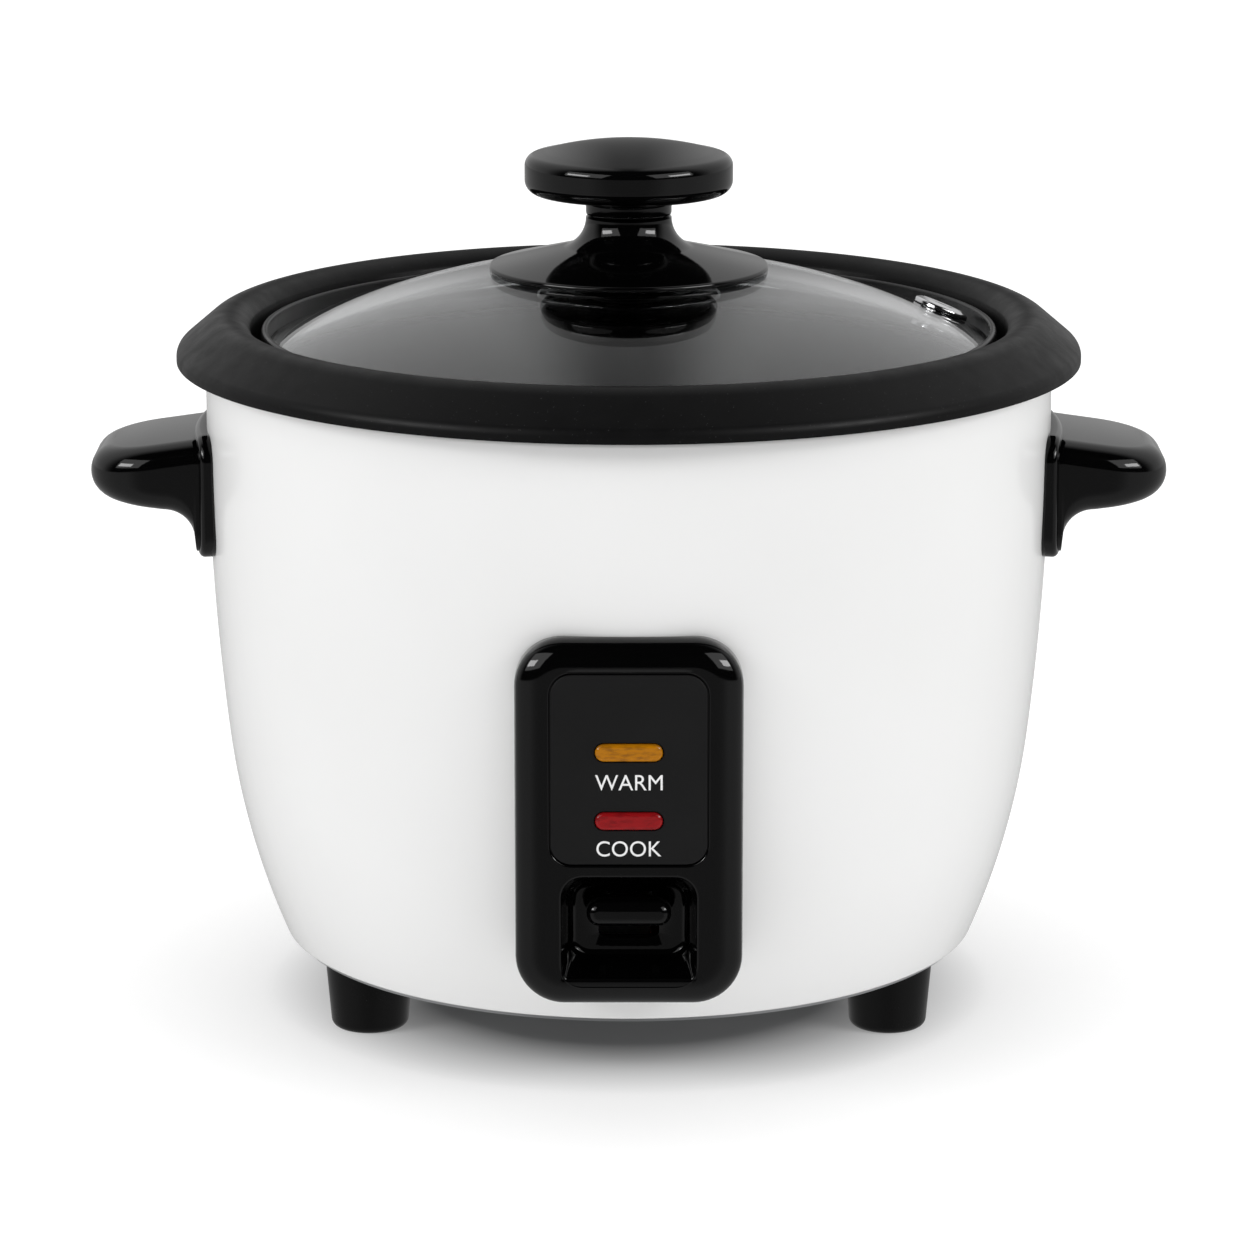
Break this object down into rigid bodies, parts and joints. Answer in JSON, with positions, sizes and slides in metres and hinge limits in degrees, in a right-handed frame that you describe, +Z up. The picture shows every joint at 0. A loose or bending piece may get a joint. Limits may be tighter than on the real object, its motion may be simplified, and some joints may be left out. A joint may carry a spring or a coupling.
{
  "type": "rice cooker",
  "caption": "Electric rice cooker with a white rounded body, black side handles, lift-out pot, domed glass lid and a cook and warm lever.",
  "frame": {"origin": "centre of the footprint, on the surface that the feet stand on", "axes": "+X to the right across the handles, +Y from the control panel to the back, +Z up"},
  "size_m": [0.242, 0.203, 0.1955],
  "materials": {
    "white_enamel": "gloss white enamel",
    "zinc_sheet": "galvanised sheet",
    "steel": "zinc-plated steel",
    "foot_plastic": "satin moulded plastic",
    "black_gloss": "gloss moulded phenolic plastic",
    "black_satin": "satin black band",
    "black_matt": "fine matt texture",
    "cast_aluminium": "turned cast aluminium",
    "element_steel": "heat-tinted sheath",
    "ceramic": "unglazed ceramic",
    "amber_lens": "clear amber acrylic",
    "red_lens": "clear red acrylic",
    "board_green": "phenolic board",
    "lamp_glass": "neon lamp glass",
    "wire_jacket": "silicone wire sleeve",
    "brass": "nickel-washed brass",
    "ferrite": "sintered ferrite",
    "non_stick": "black non-stick coating with a fine speckle",
    "lid_glass": "clear tempered glass",
    "gasket_rubber": "silicone rubber",
    "chrome": "polished stainless steel"
  },
  "bodies": {
    "base": {"outer_shell": "white_enamel", "base_plate": "zinc_sheet", "base_screws": "steel", "foot_front_left": "foot_plastic", "foot_front_right": "foot_plastic", "foot_rear": "foot_plastic", "foot_screws": "steel", "handle_left": "black_gloss", "handle_right": "black_gloss", "handle_screws": "steel", "inner_liner": "zinc_sheet", "heating_plate": "cast_aluminium", "heater_element": "element_steel", "heater_bushings": "ceramic", "plate_screws": "steel", "control_panel": "black_gloss", "label_insert": "black_matt", "warm_lens": "amber_lens", "cook_lens": "red_lens", "lamp_board": "board_green", "indicator_lamps": "lamp_glass", "panel_screws": "steel", "lever_bracket": "zinc_sheet", "lever_pin": "steel", "micro_switch": "black_matt", "rod_guide": "zinc_sheet", "thermal_fuse": "ceramic", "terminal_block": "ceramic", "wiring": "wire_jacket", "power_inlet": "black_matt", "inlet_pins": "brass"},
    "lever": {"switch_lever": "steel", "lever_tab": "black_gloss"},
    "plunger": {"switch_plunger": "ceramic"},
    "sensor": {"sensor_cap": "cast_aluminium", "sensor_ferrite": "ferrite", "sensor_clip": "steel", "sensor_spring": "steel"},
    "magnet_rod": {"magnet_holder": "steel", "magnet": "ferrite", "magnet_spring": "steel", "rod_nut": "steel"},
    "pot": {"inner_pot": "non_stick"},
    "lid": {"lid_glass": "lid_glass", "lid_rim": "black_satin", "knob_top": "black_gloss", "knob_skirt": "black_gloss", "knob_gasket": "gasket_rubber", "knob_washer": "black_gloss", "knob_screw": "steel", "steam_vent": "chrome"}
  },
  "joints": [
    {"name": "pot_lift", "type": "slide", "parent": "base", "child": "pot", "axis": [0, 0, 1], "range_m": [0, 0.12]},
    {"name": "lid_lift", "type": "slide", "parent": "pot", "child": "lid", "axis": [0, 0, 1], "range_m": [0, 0.1]},
    {"name": "lever_press", "type": "hinge", "parent": "base", "child": "lever", "pos_m": [0, -0.038, 0.0406], "axis": [1, 0, 0], "range_deg": [0, 7], "stiffness_Nm_per_rad": 0.05, "springref_deg": -17.19},
    {"name": "magnet_lift", "type": "slide", "parent": "base", "child": "magnet_rod", "axis": [0, 0, 1], "range_m": [0, 0.005], "deforming": ["magnet_spring"]},
    {"name": "plunger_press", "type": "slide", "parent": "base", "child": "plunger", "axis": [0, 0, -1], "range_m": [0, 0.0023]},
    {"name": "sensor_press", "type": "slide", "parent": "base", "child": "sensor", "axis": [0, 0, 1], "range_m": [-0.001, 0], "stiffness_N_per_m": 400, "springref_m": 0.004, "deforming": ["sensor_spring"]}
  ],
  "couplings": [
    {"joint": "magnet_lift", "follows": "lever_press", "m_per_rad": 0.04},
    {"joint": "plunger_press", "follows": "lever_press", "m_per_rad": 0.018}
  ]
}
